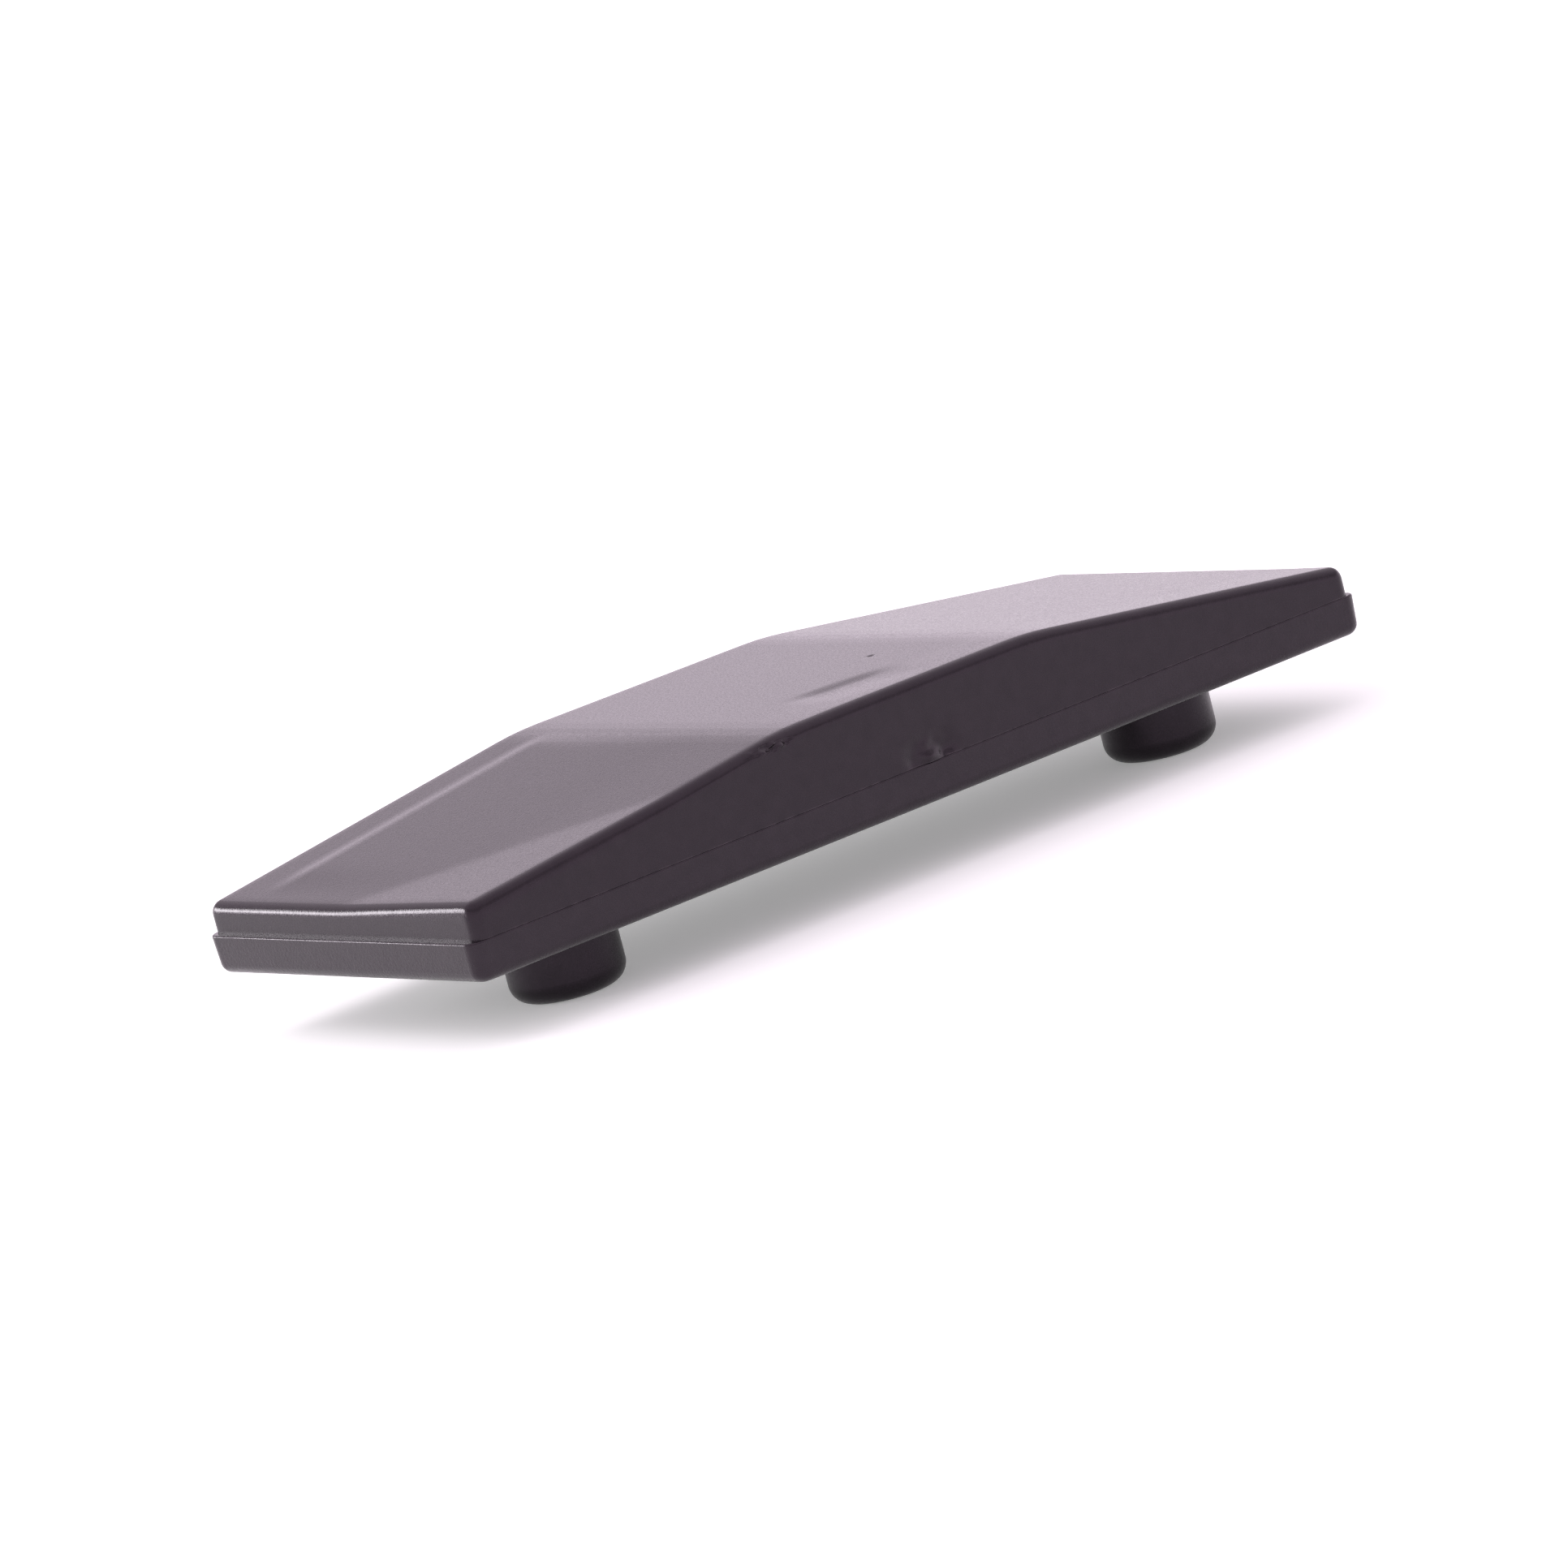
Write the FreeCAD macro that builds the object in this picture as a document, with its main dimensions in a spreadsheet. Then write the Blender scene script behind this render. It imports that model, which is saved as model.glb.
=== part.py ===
"""Raised pavement marker: a low three-facet plastic body on two anchor pegs.

X runs along the marker, Y across it and Z up. The origin is the centre of the
flat underside, which lies on the road, so the pegs reach below Z = 0.
"""
import FreeCAD, Part
import os

import Sketcher
from FreeCAD import Vector

doc = FreeCAD.newDocument("PavementMarker")

# ---------------------------------------------------------------- dimensions
DIMENSIONS = {
    "body_length": 226.4,
    "body_width": 95.0,
    "end_height": 14.2,
    "crown_height": 24.8,
    "crown_half": 32.0,
    "crease_radius": 80.0,
    "cover_corner": 2.8,
    "roof_round": 2.6,
    "parting_height": 8.2,
    "end_step": 1.6,
    "side_step": 0.2,
    "lip_round": 0.4,
    "foot_round": 2.4,
    "tray_taper": 2.5,
    "wall": 3.0,
    "tray_corner": 3.2,
    "bulkhead": 3.0,
    "bulkhead_depth": 1.8,
    "core_gap": 0.2,
    "seal_width": 1.4,
    "seal_depth": 1.2,
    "seal_mitre": 1.5,
    "peg_x": 76.5,
    "peg_y": -19.8,
    "peg_radius": 11.75,
    "peg_depth": 13.9,
    "peg_round": 4.0,
    "peg_flange_radius": 13.2,
    "peg_flange_rise": 1.5,
    "peg_flange_gap": 0.15,
    "spigot_radius": 6.4,
    "spigot_rise": 5.0,
    "spigot_gap": 0.1,
    "seat_radius": 15.5,
    "bolt_radius": 2.5,
    "bolt_clearance": 0.3,
    "bolt_head_radius": 4.25,
    "bolt_head_rise": 5.0,
    "bolt_length": 20.0,
    "hex_key_radius": 2.3,
    "hex_key_depth": 2.5,
    "washer_radius": 5.0,
    "washer_rise": 1.0,
    "counterbore_radius": 5.5,
    "counterbore_depth": 8.1,
    "insert_radius": 4.0,
    "insert_rise": 7.0,
    "insert_groove_low": 2.8,
    "insert_groove_high": 4.2,
    "insert_groove_depth": 0.8,
    "peg_boss_radius": 7.5,
    "peg_boss_top": 17.6,
    "screw_x": 97.0,
    "screw_y": 36.0,
    "screw_boss_radius": 3.6,
    "screw_seat_radius": 4.6,
    "end_boss_top": 15.2,
    "mid_boss_top": 23.4,
    "screw_radius": 1.5,
    "screw_clearance": 0.2,
    "screw_length": 10.0,
    "screw_bore_depth": 5.6,
    "screw_head_radius": 2.8,
    "screw_head_rise": 1.9,
    "screw_recess_radius": 3.2,
    "screw_recess_depth": 2.2,
    "screw_key_radius": 1.2,
    "screw_key_depth": 1.0,
    "tray_rib": 2.0,
    "rib_pitch": 15.0,
    "overlap": 0.5,
    "through_cut": 30.0,
    "grip_pitch": 22.0,
    "grip_pocket": 18.0,
    "grip_depth": 0.8,
    "grip_margin": 2.0,
}

sheet = doc.addObject("Spreadsheet::Sheet", "Dims")
for row, (alias, value) in enumerate(DIMENSIONS.items(), start=1):
    sheet.set(f"A{row}", alias)
    sheet.set(f"B{row}", str(value))
    sheet.setAlias(f"B{row}", alias)
doc.recompute()


def cells(text):
    """Turn a formula in plain alias words into one that reads the sheet."""
    words = "".join(c if c.isalnum() or c == "_" else " " for c in text).split()
    for word in sorted(set(words) & set(DIMENSIONS), key=len, reverse=True):
        text = replace_word(text, word, f"Dims.{word}")
    return text


def replace_word(text, word, new):
    """Replace whole words only, so peg_x never touches peg_x_pitch."""
    parts = []
    token = ""
    for character in text + " ":
        if character.isalnum() or character in "_.":
            token += character
            continue
        parts.append(new if token == word else token)
        parts.append(character)
        token = ""
    return "".join(parts).strip()


def number(text):
    """The present value of a formula, for a sketch's first guess."""
    return float(sheet.evalExpression(cells(text)))


# ------------------------------------------------------------ sketch helpers
def new_body(label):
    body = doc.addObject("PartDesign::Body", label)
    body.Label = label
    return body


def place(body, x="0", y="0", z="0"):
    """Bind the body's placement to formulas."""
    for axis, formula in (("x", x), ("y", y), ("z", z)):
        body.setExpression(f"Placement.Base.{axis}", cells(formula))


def new_sketch(body, name, plane="XY_Plane", offset="0"):
    """A sketch on one of the body's own planes, lifted along its normal."""
    sketch = body.newObject("Sketcher::SketchObject", name)
    support = [f for f in body.Origin.OriginFeatures if f.Role == plane][0]
    sketch.AttachmentSupport = (support, [""])
    sketch.MapMode = "FlatFace"
    if offset != "0":
        sketch.setExpression("AttachmentOffset.Base.z", cells(offset))
    return sketch


def fix_point(sketch, geometry, end, x, y):
    """Hold one point at formulas for its distance from the sketch's axes."""
    for kind, formula in (("DistanceX", x), ("DistanceY", y)):
        index = sketch.addConstraint(
            Sketcher.Constraint(kind, -1, 1, geometry, end, number(formula)))
        sketch.setExpression(f"Constraints[{index}]", cells(formula))


def polygon(sketch, points):
    """A closed outline through points given as pairs of formulas."""
    places = [Vector(number(x), number(y), 0) for x, y in points]
    first = sketch.GeometryCount
    count = len(points)
    for i in range(count):
        sketch.addGeometry(Part.LineSegment(places[i], places[(i + 1) % count]), False)
    for i in range(count):
        sketch.addConstraint(
            Sketcher.Constraint("Coincident", first + i, 2, first + (i + 1) % count, 1))
    for i, (x, y) in enumerate(points):
        fix_point(sketch, first + i, 1, x, y)


def rectangle(sketch, left, bottom, right, top):
    polygon(sketch, [(left, bottom), (right, bottom), (right, top), (left, top)])


def circle(sketch, x, y, radius):
    index = sketch.addGeometry(
        Part.Circle(Vector(number(x), number(y), 0), Vector(0, 0, 1), number(radius)), False)
    fix_point(sketch, index, 3, x, y)
    size = sketch.addConstraint(Sketcher.Constraint("Radius", index, number(radius)))
    sketch.setExpression(f"Constraints[{size}]", cells(radius))


# ----------------------------------------------------------- feature helpers
def feature(body, kind, name, sketch, length, both_ways=False, turned=False):
    """A Pad or Pocket of the sketch, checked to have changed the solid."""
    before = body.Shape.Volume if body.Tip else 0.0
    result = body.newObject(f"PartDesign::{kind}", name)
    result.Profile = sketch
    result.setExpression("Length", cells(length))
    result.Midplane = both_ways
    result.Reversed = turned
    sketch.Visibility = False
    doc.recompute()
    gained = result.Shape.Volume - before
    if (kind == "Pad" and gained <= 0) or (kind == "Pocket" and gained >= 0):
        raise ValueError(f"{body.Label}: {name} changed the volume by {gained:.3f}")
    return result


def revolve(body, name, points):
    """Turn an outline of (radius, height) pairs about the body's Z axis."""
    sketch = new_sketch(body, f"{name}Outline", "XZ_Plane")
    polygon(sketch, points)
    turned = body.newObject("PartDesign::Revolution", name)
    turned.Profile = sketch
    turned.ReferenceAxis = (sketch, ["V_Axis"])
    turned.Angle = 360.0
    sketch.Visibility = False
    doc.recompute()
    return turned


def round_edges(body, name, radius, wanted):
    """Fillet the edges of the body's tip that the test picks."""
    base = body.Tip
    names = [f"Edge{i}" for i, edge in enumerate(base.Shape.Edges, start=1) if wanted(edge)]
    if not names:
        raise ValueError(f"{body.Label}: {name} found no edge")
    fillet = body.newObject("PartDesign::Fillet", name)
    fillet.Base = (base, names)
    fillet.setExpression("Radius", cells(radius))
    doc.recompute()
    return fillet


def middle(edge):
    first, last = edge.ParameterRange
    return edge.valueAt((first + last) / 2)


def level(edge, height):
    """True where the whole edge lies at one height."""
    box = edge.BoundBox
    return abs(box.ZMin - height) < 1e-4 and abs(box.ZMax - height) < 1e-4


# ----------------------------------------------------------------- top cover
COVER_HALF = "(body_length / 2 - end_step)"
COVER_SIDE = "(body_width / 2 - side_step)"
FACET_SLOPE = f"((crown_height - end_height) / ({COVER_HALF} - crown_half))"
ROOF_WALL = f"(wall * sqrt(1 + {FACET_SLOPE}^2))"
INNER_HALF = f"({COVER_HALF} - wall)"
INNER_SIDE = f"({COVER_SIDE} - wall)"
INNER_END = f"(end_height + wall * {FACET_SLOPE} - {ROOF_WALL})"
SCREW_SPOTS = [(x, y) for x in ("-screw_x", "0", "screw_x") for y in ("-screw_y", "screw_y")]


def roof_under(x_formula):
    """Height of the roof's inside above a point between a crease and an end."""
    return f"(end_height - {ROOF_WALL} + ({COVER_HALF} - ({x_formula})) * {FACET_SLOPE})"


def make_top_cover():
    """An arched shell: two sloping facets beside a level crown."""
    body = new_body("top_cover")
    profile = new_sketch(body, "FacetProfile", "XZ_Plane")
    polygon(profile, [
        (f"-{COVER_HALF}", "parting_height"), (COVER_HALF, "parting_height"),
        (COVER_HALF, "end_height"), ("crown_half", "crown_height"),
        ("-crown_half", "crown_height"), (f"-{COVER_HALF}", "end_height")])
    feature(body, "Pad", "Arch", profile, f"2 * {COVER_SIDE}", both_ways=True)
    round_edges(body, "CreaseRound", "crease_radius",
                lambda e: level(e, number("crown_height")) and abs(middle(e).y) < 1)
    base, half, across = number("parting_height"), number(COVER_HALF), number(COVER_SIDE)
    round_edges(body, "CornerRound", "cover_corner",
                lambda e: abs(e.BoundBox.ZMin - base) < 1e-4 and e.BoundBox.ZLength > 1)
    inset = number("cover_corner")
    round_edges(body, "RoofRound", "roof_round",
                lambda e: e.BoundBox.ZMin > base + 1
                and (abs(middle(e).x) > half - inset or abs(middle(e).y) > across - inset))

    cavity = new_sketch(body, "CavityProfile", "XZ_Plane")
    crown_inner = f"(crown_half - wall * {FACET_SLOPE} / 2)"
    polygon(cavity, [
        (f"-{INNER_HALF}", "parting_height"), (INNER_HALF, "parting_height"),
        (INNER_HALF, INNER_END), (crown_inner, "crown_height - wall"),
        (f"-{crown_inner}", "crown_height - wall"), (f"-{INNER_HALF}", INNER_END)])
    feature(body, "Pocket", "Cavity", cavity, f"2 * {INNER_SIDE}", both_ways=True)

    for side, word in ((-1, "Left"), (1, "Right")):
        sketch = new_sketch(body, f"{word}BulkheadProfile", "XZ_Plane")
        rectangle(sketch, f"{side} * crown_half - bulkhead / 2", "parting_height",
                  f"{side} * crown_half + bulkhead / 2", "crown_height - bulkhead_depth")
        feature(body, "Pad", f"{word}Bulkhead", sketch,
                f"2 * ({INNER_SIDE} + overlap)", both_ways=True)

    add_cover_bosses(body)
    return body


def add_cover_bosses(body):
    """Bosses hang from the roof to the parting plane, each with its bore."""
    groups = (
        ("PegBoss", "peg_boss_radius", "peg_boss_top",
         [("-peg_x", "peg_y"), ("peg_x", "peg_y")], "insert_radius", "insert_rise"),
        ("EndBoss", "screw_boss_radius", "end_boss_top",
         [s for s in SCREW_SPOTS if s[0] != "0"], "screw_radius", "screw_bore_depth"),
        ("MidBoss", "screw_boss_radius", "mid_boss_top",
         [s for s in SCREW_SPOTS if s[0] == "0"], "screw_radius", "screw_bore_depth"),
    )
    for name, radius, top, spots, bore, depth in groups:
        sketch = new_sketch(body, f"{name}Circles", "XY_Plane", "parting_height")
        for x, y in spots:
            circle(sketch, x, y, radius)
        feature(body, "Pad", name, sketch, f"{top} - parting_height")
        sketch = new_sketch(body, f"{name}Bores", "XY_Plane", "parting_height")
        for x, y in spots:
            circle(sketch, x, y, bore)
        feature(body, "Pocket", f"{name}Bore", sketch, depth, turned=True)


# ----------------------------------------------------------------- base tray
def make_base_tray():
    """The lower half: a shallow tray whose rim stands proud of the cover."""
    body = new_body("base_tray")
    outline = new_sketch(body, "RimOutline", "XY_Plane", "parting_height")
    rectangle(outline, "-body_length / 2", "-body_width / 2", "body_length / 2", "body_width / 2")
    block = feature(body, "Pad", "Tray", outline, "parting_height", turned=True)
    block.setExpression("TaperAngle", cells("-tray_taper"))
    doc.recompute()
    half, side = number("body_length") / 2, number("body_width") / 2
    round_edges(body, "CornerRound", "tray_corner",
                lambda e: abs(middle(e).x) > half - 1 and abs(middle(e).y) > side - 1)
    round_edges(body, "LipRound", "lip_round", lambda e: level(e, number("parting_height")))
    round_edges(body, "FootRound", "foot_round", lambda e: level(e, 0.0))

    well = new_sketch(body, "WellOutline", "XY_Plane", "parting_height")
    rectangle(well, f"-{INNER_HALF}", f"-{INNER_SIDE}", INNER_HALF, INNER_SIDE)
    feature(body, "Pocket", "Well", well, "parting_height - wall")
    add_tray_ribs(body)
    add_tray_seats(body)
    add_seal_groove(body)
    add_grip_pockets(body)
    return body


def add_tray_ribs(body):
    """Lengthwise ribs and two cross ribs stiffen the floor of the well."""
    sketch = new_sketch(body, "LongRibs", "XY_Plane", "wall")
    for row in (-2, 0, 1, 2):
        rectangle(sketch, f"-{INNER_HALF} - overlap", f"{row} * rib_pitch - tray_rib / 2",
                  f"{INNER_HALF} + overlap", f"{row} * rib_pitch + tray_rib / 2")
    feature(body, "Pad", "LongRib", sketch, "parting_height - wall")
    sketch = new_sketch(body, "CrossRibs", "XY_Plane", "wall")
    for x in ("-crown_half", "crown_half"):
        rectangle(sketch, f"{x} - tray_rib / 2", f"-{INNER_SIDE} - overlap",
                  f"{x} + tray_rib / 2", f"{INNER_SIDE} + overlap")
    feature(body, "Pad", "CrossRib", sketch, "parting_height - wall")


def add_tray_seats(body):
    """Round seats carry the peg spigots and the case screws."""
    pegs = [("-peg_x", "peg_y"), ("peg_x", "peg_y")]
    sketch = new_sketch(body, "SeatCircles", "XY_Plane", "wall - overlap")
    for x, y in pegs:
        circle(sketch, x, y, "seat_radius")
    for x, y in SCREW_SPOTS:
        circle(sketch, x, y, "screw_seat_radius")
    feature(body, "Pad", "Seats", sketch, "parting_height - wall + overlap")

    bores = (
        ("FlangeRecess", pegs, "peg_flange_radius + peg_flange_gap", "peg_flange_rise"),
        ("SpigotBore", pegs, "spigot_radius + spigot_gap", "spigot_rise"),
        ("BoltBore", pegs, "bolt_radius + bolt_clearance", "parting_height + overlap"),
        ("ScrewBore", SCREW_SPOTS, "screw_radius + screw_clearance", "parting_height + overlap"),
        ("ScrewRecess", SCREW_SPOTS, "screw_recess_radius", "screw_recess_depth"),
    )
    for name, spots, radius, depth in bores:
        sketch = new_sketch(body, f"{name}Circles", "XY_Plane")
        for x, y in spots:
            circle(sketch, x, y, radius)
        feature(body, "Pocket", name, sketch, depth, turned=True)


def seal_ring(body, height):
    """Sketch the closed band of the seal, with mitred corners, under the cover's wall."""
    sketch = new_sketch(body, "SealBand", "XY_Plane", height)
    for sign, mitre in (("+", "seal_mitre"), ("-", "(seal_mitre - seal_width * (2 - sqrt(2)))")):
        along = f"({COVER_HALF} - wall / 2 {sign} seal_width / 2)"
        across = f"({COVER_SIDE} - wall / 2 {sign} seal_width / 2)"
        polygon(sketch, [
            (f"-({along} - {mitre})", f"-{across}"), (f"{along} - {mitre}", f"-{across}"),
            (along, f"-({across} - {mitre})"), (along, f"{across} - {mitre}"),
            (f"{along} - {mitre}", across), (f"-({along} - {mitre})", across),
            (f"-{along}", f"{across} - {mitre}"), (f"-{along}", f"-({across} - {mitre})")])
    return sketch


def add_seal_groove(body):
    feature(body, "Pocket", "SealGroove", seal_ring(body, "parting_height"), "seal_depth")


def add_grip_pockets(body):
    """A waffle of shallow pockets keys the underside into the adhesive."""
    pitch = number("grip_pitch")
    margin = number("grip_margin")
    keep_out = [(number(x), number(y), number("peg_flange_radius") + margin)
                for x, y in (("-peg_x", "peg_y"), ("peg_x", "peg_y"))]
    keep_out += [(number(x), number(y), number("screw_recess_radius") + margin)
                 for x, y in SCREW_SPOTS]
    keep_out.append((0.0, 0.0, margin))
    columns = int((number(INNER_HALF) - number("grip_pocket") / 2) // pitch)
    rows = int((number(INNER_SIDE) - number("grip_pocket") / 2) // pitch)
    half = number("grip_pocket") / 2
    sketch = new_sketch(body, "GripSquares", "XY_Plane")
    for i in range(-columns, columns + 1):
        for j in range(-rows, rows + 1):
            x, y = i * pitch, j * pitch
            near = [max(abs(x - a) - half, 0) ** 2 + max(abs(y - b) - half, 0) ** 2 < r ** 2
                    for a, b, r in keep_out]
            if any(near):
                continue
            rectangle(sketch, f"{i} * grip_pitch - grip_pocket / 2",
                      f"{j} * grip_pitch - grip_pocket / 2",
                      f"{i} * grip_pitch + grip_pocket / 2",
                      f"{j} * grip_pitch + grip_pocket / 2")
    feature(body, "Pocket", "GripPockets", sketch, "grip_depth", turned=True)


# ------------------------------------------------------------------- fillers
def make_seal():
    """A flat rubber band in the groove of the tray's rim."""
    body = new_body("perimeter_seal")
    feature(body, "Pad", "Band", seal_ring(body, "parting_height - seal_depth"), "seal_depth")
    return body


def make_core(label, left, right, roof_left, roof_right):
    """A block of filler under one facet, between the bulkheads and the walls."""
    body = new_body(label)
    profile = new_sketch(body, "CoreProfile", "XZ_Plane")
    floor = "parting_height"
    polygon(profile, [(left, floor), (right, floor), (right, roof_right), (left, roof_left)])
    feature(body, "Pad", "Block", profile, f"2 * ({INNER_SIDE} - core_gap)", both_ways=True)
    low, high = number(left), number(right)
    holes = [(x, y, "screw_boss_radius + core_gap") for x, y in SCREW_SPOTS]
    holes += [(x, "peg_y", "peg_boss_radius + core_gap") for x in ("-peg_x", "peg_x")]
    sketch = new_sketch(body, "BossHoles")
    for x, y, radius in holes:
        if low < number(x) < high:
            circle(sketch, x, y, radius)
    feature(body, "Pocket", "BossHole", sketch, "through_cut", turned=True)
    return body


def make_cores():
    edge = "(crown_half + bulkhead / 2 + core_gap)"
    end = f"({INNER_HALF} - core_gap)"
    high = f"{roof_under(edge)} - core_gap"
    low = f"{roof_under(end)} - core_gap"
    middle_edge = "(crown_half - bulkhead / 2 - core_gap)"
    crown = "crown_height - wall - 2 * core_gap"
    return [
        make_core("left_core", f"-{end}", f"-{edge}", low, high),
        make_core("centre_core", f"-{middle_edge}", middle_edge, crown, crown),
        make_core("right_core", edge, end, high, low),
    ]


# --------------------------------------------------------------- anchor pegs
def make_peg(label, side):
    """A plastic peg: rounded foot, flange flush in the underside, spigot above."""
    body = new_body(label)
    revolve(body, "Shank", [
        ("0", "-peg_depth"), ("peg_radius", "-peg_depth"), ("peg_radius", "0"),
        ("peg_flange_radius", "0"), ("peg_flange_radius", "peg_flange_rise"),
        ("spigot_radius", "peg_flange_rise"), ("spigot_radius", "spigot_rise - spigot_gap"),
        ("0", "spigot_rise - spigot_gap")])
    round_edges(body, "FootRound", "peg_round", lambda e: level(e, -number("peg_depth")))
    for name, radius, start, depth in (
            ("BoltBore", "bolt_radius + bolt_clearance", "-peg_depth", "peg_depth + spigot_rise"),
            ("Counterbore", "counterbore_radius", "-peg_depth", "counterbore_depth")):
        sketch = new_sketch(body, f"{name}Circle", "XY_Plane", start)
        circle(sketch, "0", "0", radius)
        feature(body, "Pocket", name, sketch, depth, turned=True)
    place(body, f"{side} * peg_x", "peg_y")
    return body


def make_washer(label, side):
    """A flat washer on the counterbore's floor."""
    body = new_body(label)
    revolve(body, "Ring", [
        ("bolt_radius + bolt_clearance", "-washer_rise"), ("washer_radius", "-washer_rise"),
        ("washer_radius", "0"), ("bolt_radius + bolt_clearance", "0")])
    place(body, f"{side} * peg_x", "peg_y", "counterbore_depth - peg_depth")
    return body


def make_bolt(label, side):
    """A socket-head bolt, driven upward from the peg's foot."""
    body = new_body(label)
    seat = "counterbore_depth - peg_depth - washer_rise"
    revolve(body, "Bolt", [
        ("0", "-bolt_head_rise"), ("bolt_head_radius", "-bolt_head_rise"),
        ("bolt_head_radius", "0"), ("bolt_radius", "0"),
        ("bolt_radius", "bolt_length"), ("0", "bolt_length")])
    sketch = new_sketch(body, "KeySocketOutline", "XY_Plane", "-bolt_head_rise")
    hexagon(sketch, "hex_key_radius")
    feature(body, "Pocket", "KeySocket", sketch, "hex_key_depth", turned=True)
    place(body, f"{side} * peg_x", "peg_y", seat)
    return body


def hexagon(sketch, radius):
    """A regular hexagon with a corner on the sketch's X axis."""
    polygon(sketch, [(f"{radius} * cos({60 * k} deg)", f"{radius} * sin({60 * k} deg)")
                     for k in range(6)])


def make_insert(label, side):
    """A threaded brass bush pressed into the cover's peg boss."""
    body = new_body(label)
    groove_radius = "insert_radius - insert_groove_depth"
    revolve(body, "Bush", [
        ("bolt_radius", "0"), ("insert_radius", "0"), ("insert_radius", "insert_groove_low"),
        (groove_radius, "insert_groove_low"), (groove_radius, "insert_groove_high"),
        ("insert_radius", "insert_groove_high"), ("insert_radius", "insert_rise"),
        ("bolt_radius", "insert_rise")])
    place(body, f"{side} * peg_x", "peg_y", "parting_height")
    return body


def make_case_screw(label, x, y):
    """A pan-head screw that clamps the tray to the cover from below."""
    body = new_body(label)
    revolve(body, "Screw", [
        ("0", "-screw_head_rise"), ("screw_head_radius", "-screw_head_rise"),
        ("screw_head_radius", "0"), ("screw_radius", "0"),
        ("screw_radius", "screw_length"), ("0", "screw_length")])
    sketch = new_sketch(body, "KeySocketOutline", "XY_Plane", "-screw_head_rise")
    hexagon(sketch, "screw_key_radius")
    feature(body, "Pocket", "KeySocket", sketch, "screw_key_depth", turned=True)
    place(body, x, y, "screw_recess_depth")
    return body


# ------------------------------------------------------------------ assembly
pieces = [make_top_cover(), make_base_tray(), make_seal()]
pieces += make_cores()
for side, word in ((-1, "left"), (1, "right")):
    pieces.append(make_peg(f"{word}_anchor_peg", side))
    pieces.append(make_washer(f"{word}_peg_washer", side))
    pieces.append(make_bolt(f"{word}_peg_bolt", side))
    pieces.append(make_insert(f"{word}_boss_insert", side))
for index, (x, y) in enumerate(SCREW_SPOTS, start=1):
    pieces.append(make_case_screw(f"case_screw_{index}", x, y))
doc.recompute()

# -------------------------------------------------------------------- export
failed = [o.Name for o in doc.Objects if {"Invalid", "Error"} & set(o.State)]
if failed:
    raise ValueError(f"failed objects: {failed}")
for piece in pieces:
    if piece.Shape.isNull() or not piece.Shape.isValid() or len(piece.Shape.Solids) != 1:
        raise ValueError(f"{piece.Label}: bad shape, {len(piece.Shape.Solids)} solids")

os.makedirs("parts", exist_ok=True)
for piece in pieces:
    piece.Shape.exportStep(f"parts/{piece.Label}.step")
    print(f"{piece.Label}: {piece.Shape.Volume:.0f} mm3, valid")
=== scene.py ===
import math

import bpy
from mathutils import Matrix, Vector, noise


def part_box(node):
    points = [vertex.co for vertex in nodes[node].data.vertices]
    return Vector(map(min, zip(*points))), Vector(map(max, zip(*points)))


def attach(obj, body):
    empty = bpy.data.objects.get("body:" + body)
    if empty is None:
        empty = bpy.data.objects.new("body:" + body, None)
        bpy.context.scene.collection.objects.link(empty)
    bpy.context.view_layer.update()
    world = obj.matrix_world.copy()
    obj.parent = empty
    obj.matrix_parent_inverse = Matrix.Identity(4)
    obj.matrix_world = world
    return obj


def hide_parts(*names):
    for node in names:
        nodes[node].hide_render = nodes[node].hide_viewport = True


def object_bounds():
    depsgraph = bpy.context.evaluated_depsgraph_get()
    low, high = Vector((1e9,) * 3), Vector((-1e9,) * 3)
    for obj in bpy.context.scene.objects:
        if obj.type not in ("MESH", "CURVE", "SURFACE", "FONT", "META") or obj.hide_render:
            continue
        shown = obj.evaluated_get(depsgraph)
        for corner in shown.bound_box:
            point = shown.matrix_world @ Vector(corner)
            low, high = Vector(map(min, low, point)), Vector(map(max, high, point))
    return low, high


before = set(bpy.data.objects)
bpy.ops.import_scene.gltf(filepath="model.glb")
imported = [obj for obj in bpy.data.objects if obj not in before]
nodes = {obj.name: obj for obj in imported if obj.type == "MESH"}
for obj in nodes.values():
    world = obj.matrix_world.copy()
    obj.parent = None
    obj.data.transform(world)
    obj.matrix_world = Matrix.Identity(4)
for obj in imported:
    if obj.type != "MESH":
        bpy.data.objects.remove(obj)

cad_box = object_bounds()
MM = 0.001

# ---------------------------------------------------------------- the camera
# A long lens looks down on the marker from its near left corner. The camera
# is rolled, so the marker climbs across the frame.
VIEW_AZIMUTH = math.radians(-34.263)
VIEW_ELEVATION = math.radians(10.471)
VIEW_ROLL = math.radians(-14.538)
VIEW_DISTANCE = 1.766
VIEW_TARGET = Vector((-0.00338, -0.00105, 0.00459))
LENS_MM = 202.8
SENSOR_MM = 36.0
VIEW_REACH = 50.0

forward = Vector((-math.sin(VIEW_AZIMUTH) * math.cos(VIEW_ELEVATION),
                  math.cos(VIEW_AZIMUTH) * math.cos(VIEW_ELEVATION),
                  -math.sin(VIEW_ELEVATION)))
camera_data = bpy.data.cameras.new("camera")
camera_data.lens = LENS_MM
camera_data.sensor_width = SENSOR_MM
camera_data.clip_end = VIEW_REACH
camera = bpy.data.objects.new("camera", camera_data)
bpy.context.scene.collection.objects.link(camera)
level_turn = forward.to_track_quat("-Z", "Y").to_matrix().to_4x4()
camera.matrix_world = (Matrix.Translation(VIEW_TARGET - forward * VIEW_DISTANCE)
                       @ level_turn @ Matrix.Rotation(VIEW_ROLL, 4, "Z"))
bpy.context.scene.camera = camera

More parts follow.
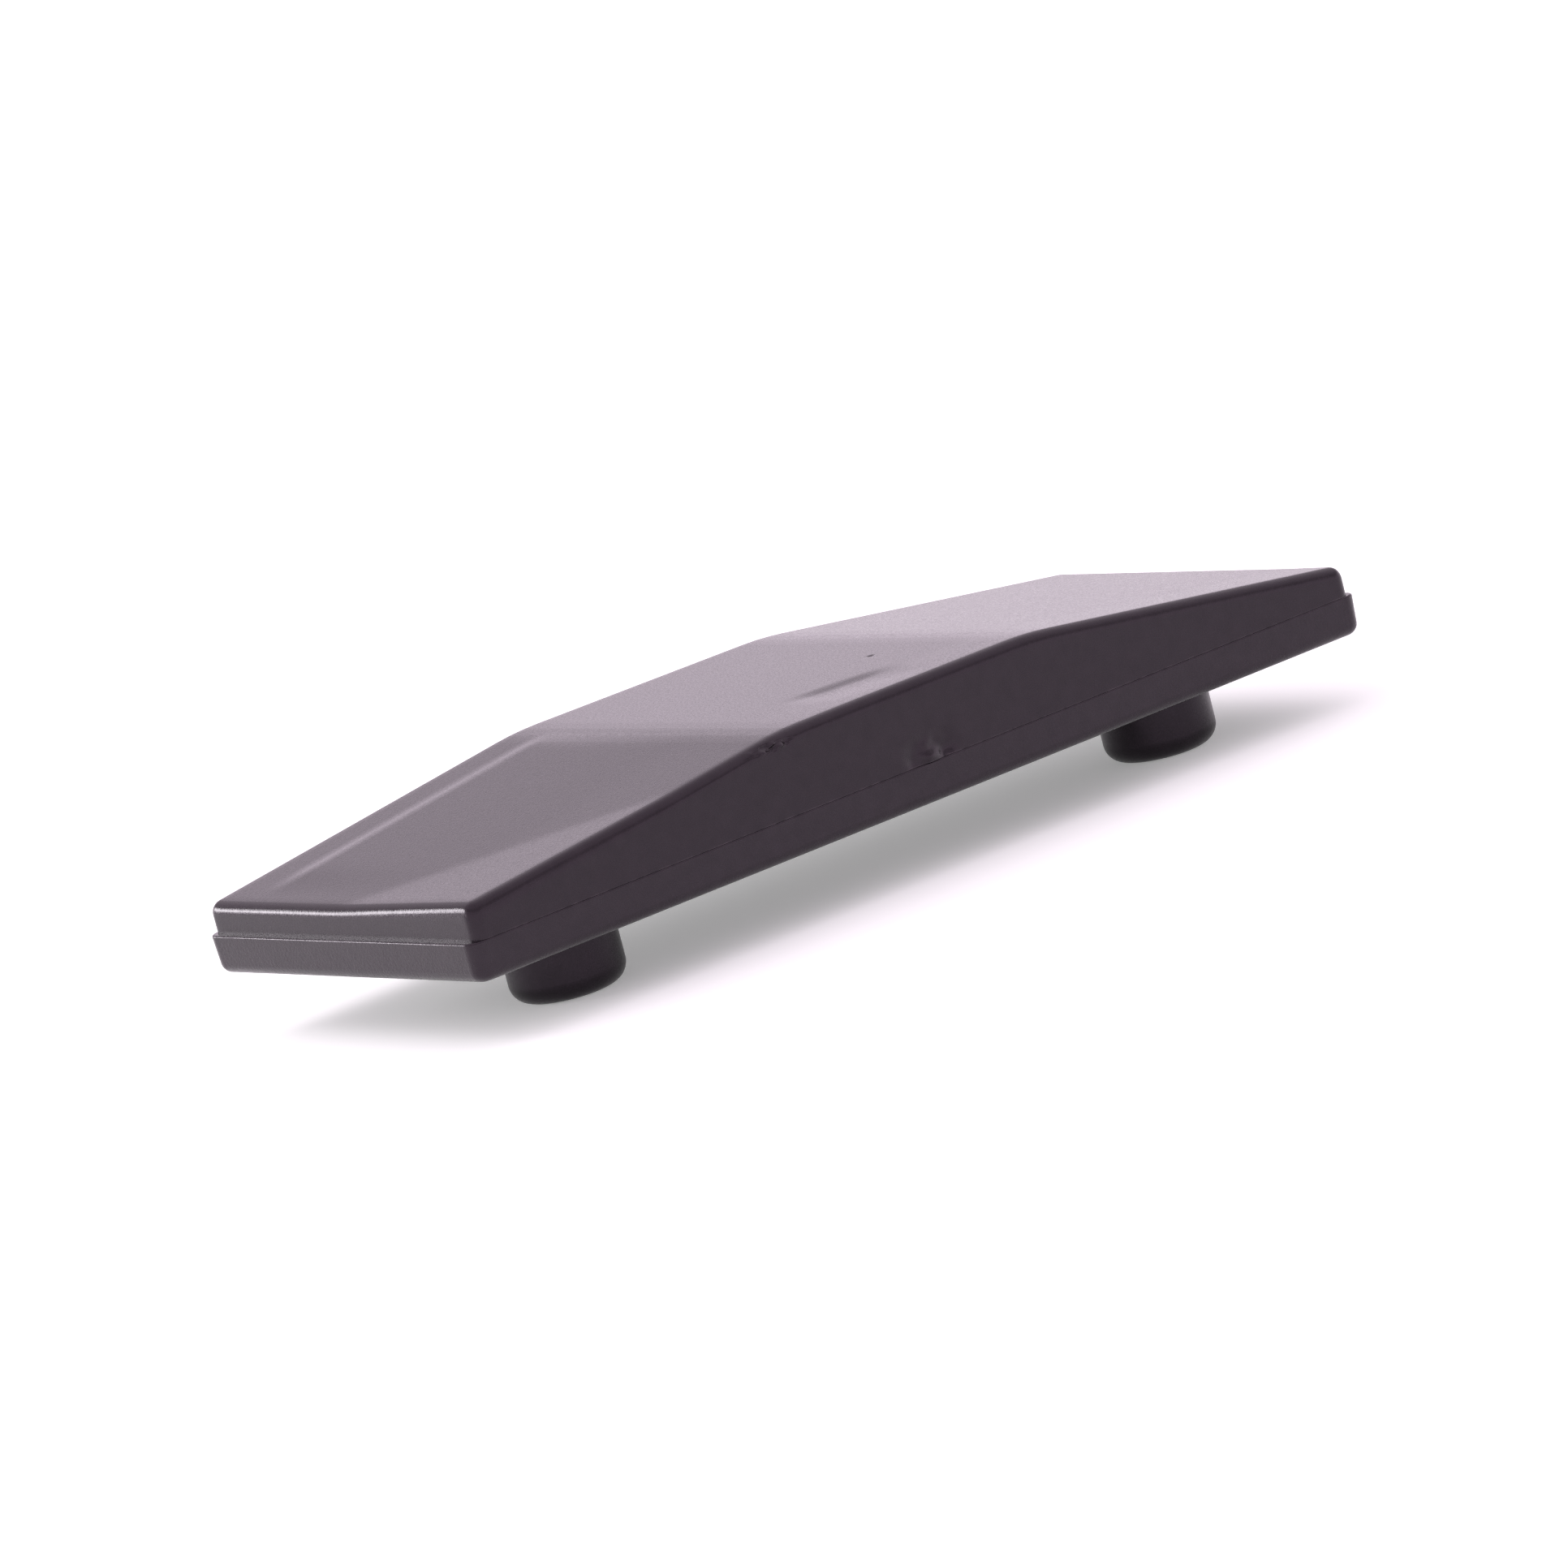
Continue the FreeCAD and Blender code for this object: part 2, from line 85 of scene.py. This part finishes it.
# ------------------------------------------------------- the floor and light
# The marker stands on a lit white table. The pale studio wall glows low down,
# drops to a dimmer band above, and brightens again overhead. A broad lamp
# above and a small one by the left end add no glare. A soft box low behind
# the left end draws the edge highlights.
FLOOR_HALF = 12.0
FLOOR_HEX = "#EEF0EE"
FLOOR_GLOW = 0.29
FLOOR_ROUGHNESS = 0.9
FLOOR_GAP = 0.1 * MM
WALL_HEX = "#F6E8F5"
# Each stop is the sine of the elevation and the glow there.
WALL_STOPS = ((0.0, 1.66), (0.17, 1.58), (0.292, 1.48), (0.314, 0.84), (0.42, 0.86), (0.62, 1.4),
              (1.0, 1.4))
OVERHEAD_SIZE = 3.0
OVERHEAD_PLACE = Vector((-0.7, 0.9, 2.5))
OVERHEAD_POWER = 6.0
SOFTBOX_SIZE = (0.9, 0.3)
SOFTBOX_PLACE = Vector((-0.87, 1.23, 0.39))
SOFTBOX_POWER = 11.0
TABLE_LAMP_SIZE = (0.2, 0.2)
TABLE_LAMP_PLACE = Vector((-0.38, 0.3, 0.4))
TABLE_LAMP_AIM = (-0.2, 0.05, 0)
TABLE_LAMP_POWER = 0.6


def linear(hex_text):
    """An sRGB hex colour as linear red, green, blue and alpha."""
    channels = [int(hex_text[i:i + 2], 16) / 255 for i in (1, 3, 5)]
    curve = [c / 12.92 if c <= 0.04045 else ((c + 0.055) / 1.055) ** 2.4 for c in channels]
    return (*curve, 1.0)


def add_node(tree, kind, inputs=(), **properties):
    """Add one node: each input takes a value, or the socket that feeds it."""
    node = tree.nodes.new(kind)
    for name, value in properties.items():
        setattr(node, name, value)
    for key, value in dict(inputs).items():
        if isinstance(value, bpy.types.NodeSocket):
            tree.links.new(value, node.inputs[key])
        else:
            node.inputs[key].default_value = value
    return node


def new_material(name):
    """An empty node material, with the tree that its nodes go in."""
    material = bpy.data.materials.new(name)
    material.use_nodes = True
    material.node_tree.nodes.clear()
    return material, material.node_tree


def add_lamp(name, size, place, aim, power):
    """A rectangular lamp that the camera itself never sees."""
    bpy.ops.object.light_add(type="AREA", location=place)
    lamp = bpy.context.object
    lamp.name = name
    lamp.data.shape = "RECTANGLE"
    lamp.data.size, lamp.data.size_y = size
    lamp.data.energy = power
    lamp.rotation_euler = (Vector(aim) - place).to_track_quat("-Z", "Y").to_euler()
    lamp.visible_camera = False
    return lamp


bpy.ops.mesh.primitive_plane_add(size=2 * FLOOR_HALF, location=(0, 0, cad_box[0][2] - FLOOR_GAP))
floor = bpy.context.object
floor.name = "floor"
acrylic, tree = new_material("lit_white_acrylic")
shader = add_node(tree, "ShaderNodeBsdfPrincipled", {
    "Base Color": linear(FLOOR_HEX), "Roughness": FLOOR_ROUGHNESS,
    "Emission Color": linear(FLOOR_HEX), "Emission Strength": FLOOR_GLOW})
add_node(tree, "ShaderNodeOutputMaterial", {"Surface": shader.outputs[0]})
floor.data.materials.append(acrylic)

world = bpy.data.worlds.new("studio")
world.use_nodes = True
tree = world.node_tree
direction = add_node(tree, "ShaderNodeTexCoord")
height = add_node(tree, "ShaderNodeSeparateXYZ", {"Vector": direction.outputs["Generated"]})
ramp = add_node(tree, "ShaderNodeValToRGB", {"Fac": height.outputs["Z"]})
while len(ramp.color_ramp.elements) < len(WALL_STOPS):
    ramp.color_ramp.elements.new(1.0)
for element, (stop, glow) in zip(ramp.color_ramp.elements, WALL_STOPS):
    element.position = stop
    element.color = (glow, glow, glow, 1.0)
wall = tree.nodes["Background"]
wall.inputs["Color"].default_value = linear(WALL_HEX)
tree.links.new(ramp.outputs["Color"], wall.inputs["Strength"])
bpy.context.scene.world = world
bpy.context.scene.view_settings.view_transform = "Standard"

overhead = add_lamp("overhead_lamp", (OVERHEAD_SIZE, OVERHEAD_SIZE), OVERHEAD_PLACE, (0, 0, 0),
                    OVERHEAD_POWER)
overhead.visible_glossy = False
cover_low, cover_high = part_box("top_cover")
left_end = (cover_low.x, 0, 0.5 * cover_high.z)
add_lamp("softbox", SOFTBOX_SIZE, SOFTBOX_PLACE, left_end, SOFTBOX_POWER)
table_lamp = add_lamp("table_lamp", TABLE_LAMP_SIZE, TABLE_LAMP_PLACE, TABLE_LAMP_AIM,
                      TABLE_LAMP_POWER)
table_lamp.visible_glossy = False

# -------------------------------------------------------------- the top cover
# One injection moulding in near-black ABS with a mauve cast, as three flat
# facets. It is satin from a fine spark-eroded mould, a little sunken where
# the wall cooled, and torn on the near side where its gate broke off.
CUT_STEP = 2 * MM
CROWN_HALF = 32 * MM
END_TOP = 14.2 * MM
FACET_SLOPE = (cover_high.z - END_TOP) / (cover_high.x - CROWN_HALF)
MERGE_GAP = 0.002 * MM
FLAT_ANGLE = math.radians(0.2)
SMOOTH_ANGLE = math.radians(28)
ROOF_SKIN = (0.6 * MM, 2.4 * MM)
SIDE_SKIN = 1.5 * MM
CURL_ALONG = 54 * MM
CURL_ACROSS = 47 * MM
CURL_TILT = 0.036
CURL_SOFTNESS = 0.9 * MM
DISH_TILT = 0.0065
DISH_START = -22 * MM
DISH_SOFTNESS = 4 * MM
DISH_FADE = (4 * MM, 18 * MM)
LEFT_FADE = (-CROWN_HALF - 8 * MM, -CROWN_HALF)
CROWN_FADE = (-CROWN_HALF - 6 * MM, -CROWN_HALF + 22 * MM)
STRIP_INNER = 30.5 * MM
STRIP_OUTER = 34.5 * MM
BAND_WIDTH = 17 * MM
BAND_TILT = 0.010
GROOVE_MIDDLE = (-2 * MM, -27 * MM)
GROOVE_HALF = 8.5 * MM
GROOVE_FADE = 5 * MM
GROOVE_TURN = -0.16
GROOVE_DEPTH = 0.36 * MM
GROOVE_FAR = 3.5 * MM
GROOVE_NEAR = 18 * MM
# The pinhole's place on the crown, its radius and its depth.
PIT = (17.5 * MM, -11.5 * MM, 1.1 * MM, 0.22 * MM)
# Each tear's middle and half sizes on the side, its lump size and its height.
GATE_TEAR = ((0.7 * MM, 10.4 * MM), (8.5 * MM, 5.2 * MM), 4.8 * MM, 1.3 * MM)
BURR_TEAR = ((-36 * MM, 22.6 * MM), (7 * MM, 1.1 * MM), 1.7 * MM, 1.1 * MM)
TEAR_BIAS = 0.12
TEAR_SEED = 45.45
TEAR_FADE = 0.3
TEAR_CUTS = 4
WINDOW_DEPTH = 3 * MM
PIT_WINDOW = (2 * MM, 2 * MM, MM)


def smooth_step(value, low, high):
    """0 below low, 1 above high, and a smooth rise between them."""
    share = min(max((value - low) / (high - low), 0.0), 1.0)
    return share * share * (3 - 2 * share)


def soft_ramp(value, softness):
    """The positive part of a value, with its corner rounded off."""
    return 0.5 * (math.hypot(value, softness) + value - softness)


def roof_sink(x, y):
    """How far the cooled roof stands above or below a flat one."""
    from_edge = y - cover_low.y
    left = 1 - smooth_step(x, *LEFT_FADE)
    inside = 1 - (x - cover_low.x) / CURL_ALONG - from_edge / CURL_ACROSS
    reach = CURL_ALONG * CURL_ACROSS / math.hypot(CURL_ALONG, CURL_ACROSS)
    curl = CURL_TILT * soft_ramp(inside * reach, CURL_SOFTNESS)
    crest = (STRIP_INNER - DISH_START) * DISH_TILT
    rise = min(DISH_TILT * soft_ramp(y - DISH_START, DISH_SOFTNESS), crest)
    dish = rise * (1 - smooth_step(y, STRIP_INNER, STRIP_OUTER))
    dish *= smooth_step(x - cover_low.x, *DISH_FADE)
    crown = smooth_step(x, *CROWN_FADE)
    band = BAND_TILT * (BAND_WIDTH - min(from_edge, BAND_WIDTH))
    return left * (curl + dish) + crown * band - groove(x, y) - pit(x, y)


def groove(x, y):
    """A shallow dent along the crown, steeper on its far side."""
    along = x - GROOVE_MIDDLE[0]
    across = y - GROOVE_MIDDLE[1] - GROOVE_TURN * along
    width = GROOVE_FAR if across > 0 else GROOVE_NEAR
    ends = 1 - smooth_step(abs(along), GROOVE_HALF - GROOVE_FADE, GROOVE_HALF + GROOVE_FADE)
    return GROOVE_DEPTH * ends * (1 - smooth_step(abs(across), 0, width))


def pit(x, y):
    """One small round pinhole in the crown."""
    middle_x, middle_y, radius, depth = PIT
    gap = math.hypot(x - middle_x, y - middle_y)
    return depth * (1 - smooth_step(gap, 0, radius))


def tear(x, z, middle, half, lump, height):
    """Torn plastic: how far a spot of the side is pulled out, or in if negative."""
    gap = math.hypot((x - middle[0]) / half[0], (z - middle[1]) / half[1])
    place = Vector((x / lump, TEAR_SEED, 1.3 * z / lump))
    lumps = noise.noise(place) + 0.2 * noise.noise(2.3 * place) - TEAR_BIAS
    return height * lumps * (1 - smooth_step(gap, TEAR_FADE, 1))


def side_window(middle, half):
    """The box of the near side about a torn spot, as its middle and half sizes."""
    return (middle[0], cover_low.y, middle[1]), (half[0] + MM, WINDOW_DEPTH, half[1] + MM)


def select_faces(mesh, middle, half):
    """In edit mode, select the faces centred in a box of this middle and half sizes."""
    bpy.ops.mesh.select_all(action="DESELECT")
    bpy.ops.object.mode_set(mode="OBJECT")
    for face in mesh.polygons:
        face.select = all(abs(face.center[i] - middle[i]) < half[i] for i in range(3))
    bpy.ops.object.mode_set(mode="EDIT")


skin_mesh = nodes["top_cover"].data.copy()
skin = bpy.data.objects.new("top_cover_moulding", skin_mesh)
bpy.context.scene.collection.objects.link(skin)
bpy.ops.object.select_all(action="DESELECT")
bpy.context.view_layer.objects.active = skin
skin.select_set(True)
bpy.ops.mesh.customdata_custom_splitnormals_clear()
bpy.ops.object.mode_set(mode="EDIT")
bpy.ops.mesh.select_mode(type="FACE")
bpy.ops.mesh.select_all(action="SELECT")
bpy.ops.mesh.remove_doubles(threshold=MERGE_GAP)
bpy.ops.mesh.select_all(action="SELECT")
bpy.ops.mesh.dissolve_limited(angle_limit=FLAT_ANGLE)
for axis, normal in enumerate(((1, 0, 0), (0, 1, 0), (0, 0, 1))):
    cuts = int((cover_high[axis] - cover_low[axis]) / CUT_STEP)
    for i in range(1, cuts + 1):
        point = Vector((0, 0, 0))
        point[axis] = cover_low[axis] + i * CUT_STEP
        bpy.ops.mesh.select_all(action="SELECT")
        bpy.ops.mesh.bisect(plane_co=point, plane_no=normal)
pit_window = ((PIT[0], PIT[1], cover_high.z), PIT_WINDOW)
for middle, half in (side_window(*GATE_TEAR[:2]), side_window(*BURR_TEAR[:2]), pit_window):
    select_faces(skin_mesh, middle, half)
    bpy.ops.mesh.subdivide(number_cuts=TEAR_CUTS)
bpy.ops.object.mode_set(mode="OBJECT")
for vertex in skin_mesh.vertices:
    x, y, z = vertex.co
    roof = cover_high.z - FACET_SLOPE * max(abs(x) - CROWN_HALF, 0.0)
    share = 1 - smooth_step(roof - z, *ROOF_SKIN)
    vertex.co.z += share * roof_sink(x, y)
    if y < cover_low.y + SIDE_SKIN:
        vertex.co.y -= tear(x, z, *GATE_TEAR) + tear(x, z, *BURR_TEAR)
bpy.ops.object.shade_smooth_by_angle(angle=SMOOTH_ANGLE)
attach(skin, "root")
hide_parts("top_cover")


def edge_wear_and_highlight(tree, width, breakup_noise):
    """An edge mask for rubbed wear and painted highlight: 1 on an edge of a width, broken up by
    a noise.
    """
    softened = add_node(tree, "ShaderNodeBevel", {"Radius": width}, samples=6)
    surface = add_node(tree, "ShaderNodeNewGeometry")
    same = add_node(tree, "ShaderNodeVectorMath", {
        0: softened.outputs[0], 1: surface.outputs["Normal"]}, operation="DOT_PRODUCT")
    edge = add_node(tree, "ShaderNodeMapRange", {
        "Value": same.outputs["Value"], "From Min": 0.995, "From Max": 0.86})
    broken = add_node(tree, "ShaderNodeMapRange", {
        "Value": breakup_noise, "From Min": 0.42, "From Max": 0.62})
    edge_mask = add_node(tree, "ShaderNodeMath", {0: edge.outputs[0], 1: broken.outputs[0]},
                    operation="MULTIPLY")
    return edge_mask.outputs[0]


def moulded_plastic(name, hexes, grain, bump, roughness, ior):
    """Filled plastic as it leaves a mould: cloudy colour, fine grain, and edges painted lighter,
    partly rubbed wear and partly painted highlight.
    """
    # The third colour lightens every edge: part rubbed wear, part painted highlight.
    dark_hex, light_hex, wear_and_highlight_hex = hexes
    material, tree = new_material(name)
    place = add_node(tree, "ShaderNodeTexCoord").outputs["Object"]
    flow = add_node(tree, "ShaderNodeTexNoise", {
        "Vector": place, "Scale": 1 / (3 * MM), "Detail": 5.0, "Roughness": 0.65})
    cloudy = add_node(tree, "ShaderNodeMapRange", {
        "Value": flow.outputs["Fac"], "From Min": 0.32, "From Max": 0.68})
    body = add_node(tree, "ShaderNodeMix", {
        "Factor": cloudy.outputs[0], 6: linear(dark_hex), 7: linear(light_hex)},
        data_type="RGBA")
    # Edges lighter in colour: part rubbed wear, part painted highlight.
    wear_and_highlight = edge_wear_and_highlight(tree, 0.5 * MM, flow.outputs["Fac"])
    colour = add_node(tree, "ShaderNodeMix", {
        "Factor": wear_and_highlight, 6: body.outputs[2], 7: linear(wear_and_highlight_hex)}, data_type="RGBA")
    spark = add_node(tree, "ShaderNodeTexNoise", {
        "Vector": place, "Scale": 1 / grain, "Detail": 2.0})
    rough = add_node(tree, "ShaderNodeMapRange", {
        "Value": spark.outputs["Fac"], "From Min": 0.3, "From Max": 0.7,
        "To Min": roughness - 0.05, "To Max": roughness + 0.06})
    relief = add_node(tree, "ShaderNodeBump", {
        "Height": spark.outputs["Fac"], "Strength": bump, "Distance": 0.1 * grain})
    shader = add_node(tree, "ShaderNodeBsdfPrincipled", {
        "Base Color": colour.outputs[2], "Roughness": rough.outputs[0],
        "Normal": relief.outputs[0], "IOR": ior, "Specular Tint": linear("#FFEEFF")})
    add_node(tree, "ShaderNodeOutputMaterial", {"Surface": shader.outputs[0]})
    return material


def dress(node_names, material):
    """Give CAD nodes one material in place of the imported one."""
    for name in node_names:
        nodes[name].data.materials.clear()
        nodes[name].data.materials.append(material)


# Spark-eroded ABS: a soft, wide sheen over a nearly black body.
cover_abs = moulded_plastic("spark_eroded_abs", ("#0A0709", "#141013", "#3A3438"),
                            0.45 * MM, 0.5, 0.23, 1.40)
skin.data.materials.clear()
skin.data.materials.append(cover_abs)

# -------------------------------------------------------------- the base tray
# The lower half, moulded in the same ABS with a coarser grain. Its rim stands
# proud of the cover, and its rounded lip catches the light along the joint.
tray_abs = moulded_plastic("grained_abs", ("#0A0709", "#151114", "#3C363A"),
                           0.6 * MM, 0.8, 0.24, 1.42)
dress(["base_tray"], tray_abs)

# ------------------------------------------------------------ the anchor pegs
# Two thick pegs of glass-filled nylon, turned dark by carbon black. The glass
# fibres at the skin make them duller than the body.
peg_nylon = moulded_plastic("glass_filled_nylon", ("#0C0A0C", "#161216", "#37323A"),
                            0.5 * MM, 0.4, 0.32, 1.35)
dress(["left_anchor_peg", "right_anchor_peg"], peg_nylon)

# --------------------------------------------------------- the perimeter seal
# A flat band of black EPDM rubber, extruded, cut and mitred, squeezed in the
# groove of the tray. Talc from its packing leaves it dusty.
rubber, tree = new_material("extruded_epdm")
place = add_node(tree, "ShaderNodeTexCoord").outputs["Object"]
dust = add_node(tree, "ShaderNodeTexNoise", {
    "Vector": place, "Scale": 1 / (1.5 * MM), "Detail": 6.0})
talc = add_node(tree, "ShaderNodeMapRange", {
    "Value": dust.outputs["Fac"], "From Min": 0.5, "From Max": 0.8})
colour = add_node(tree, "ShaderNodeMix", {
    "Factor": talc.outputs[0], 6: linear("#131314"), 7: linear("#3B3A3A")}, data_type="RGBA")
relief = add_node(tree, "ShaderNodeBump", {
    "Height": dust.outputs["Fac"], "Strength": 0.2, "Distance": 0.05 * MM})
rough = add_node(tree, "ShaderNodeMapRange", {
    "Value": talc.outputs[0], "To Min": 0.55, "To Max": 0.85})
shader = add_node(tree, "ShaderNodeBsdfPrincipled", {
    "Base Color": colour.outputs[2], "Roughness": rough.outputs[0],
    "Normal": relief.outputs[0], "IOR": 1.52})
add_node(tree, "ShaderNodeOutputMaterial", {"Surface": shader.outputs[0]})
dress(["perimeter_seal"], rubber)

# ---------------------------------------------------------- the filling cores
# Three blocks cast from sand-filled epoxy, one under each facet. They carry
# the wheel load, and show their sand as pale and dark specks.
filler, tree = new_material("sand_filled_epoxy")
place = add_node(tree, "ShaderNodeTexCoord").outputs["Object"]
sand = add_node(tree, "ShaderNodeTexVoronoi", {"Vector": place, "Scale": 1 / (0.8 * MM)})
tones = add_node(tree, "ShaderNodeValToRGB", {"Fac": sand.outputs["Color"]})
for element, hex_text in zip(tones.color_ramp.elements, ("#5A5047", "#A39684")):
    element.color = linear(hex_text)
relief = add_node(tree, "ShaderNodeBump", {
    "Height": sand.outputs["Distance"], "Strength": 0.4, "Distance": 0.2 * MM})
rough = add_node(tree, "ShaderNodeMapRange", {
    "Value": sand.outputs["Distance"], "To Min": 0.6, "To Max": 0.9})
shader = add_node(tree, "ShaderNodeBsdfPrincipled", {
    "Base Color": tones.outputs["Color"], "Roughness": rough.outputs[0],
    "Normal": relief.outputs[0], "IOR": 1.5})
add_node(tree, "ShaderNodeOutputMaterial", {"Surface": shader.outputs[0]})
dress(["left_core", "centre_core", "right_core"], filler)


# ------------------------------------------------ the bolts, washers, screws
# Steel fasteners, cold-headed or stamped, then zinc-plated and passivated.
# The plating is bright with a faint blue and straw bloom, dull where gripped.
def plated_metal(name, base_hex, bloom_hex, roughness, scratch):
    """Finished metal: a bloom of colour, fine tool marks and rubbed edges."""
    material, tree = new_material(name)
    place = add_node(tree, "ShaderNodeTexCoord").outputs["Object"]
    bloom = add_node(tree, "ShaderNodeTexNoise", {
        "Vector": place, "Scale": 1 / (2 * MM), "Detail": 4.0})
    edge_mask = edge_wear_and_highlight(tree, 0.3 * MM, bloom.outputs["Fac"])
    colour = add_node(tree, "ShaderNodeMix", {
        "Factor": bloom.outputs["Fac"], 6: linear(base_hex), 7: linear(bloom_hex)},
        data_type="RGBA")
    marks = add_node(tree, "ShaderNodeTexNoise", {
        "Vector": place, "Scale": 1 / scratch, "Detail": 3.0})
    relief = add_node(tree, "ShaderNodeBump", {
        "Height": marks.outputs["Fac"], "Strength": 0.15, "Distance": 0.02 * MM})
    rough = add_node(tree, "ShaderNodeMapRange", {
        "Value": edge_mask, "To Min": roughness, "To Max": roughness + 0.2})
    shader = add_node(tree, "ShaderNodeBsdfPrincipled", {
        "Base Color": colour.outputs[2], "Metallic": 1.0, "Roughness": rough.outputs[0],
        "Normal": relief.outputs[0]})
    add_node(tree, "ShaderNodeOutputMaterial", {"Surface": shader.outputs[0]})
    return material


zinc = plated_metal("zinc_plated_steel", "#B9BDC2", "#C9C3B2", 0.28, 0.3 * MM)
fasteners = [f"{side}_peg_{kind}" for side in ("left", "right") for kind in ("bolt", "washer")]
fasteners += [f"case_screw_{i}" for i in range(1, 7)]
dress(fasteners, zinc)

# ----------------------------------------------------------- the boss inserts
# Threaded bushes turned from free-cutting brass and pressed into the cover.
# Fresh from the lathe, they are yellow with fine tool marks.
brass = plated_metal("turned_brass", "#C9A253", "#B08A42", 0.24, 0.2 * MM)
dress(["left_boss_insert", "right_boss_insert"], brass)
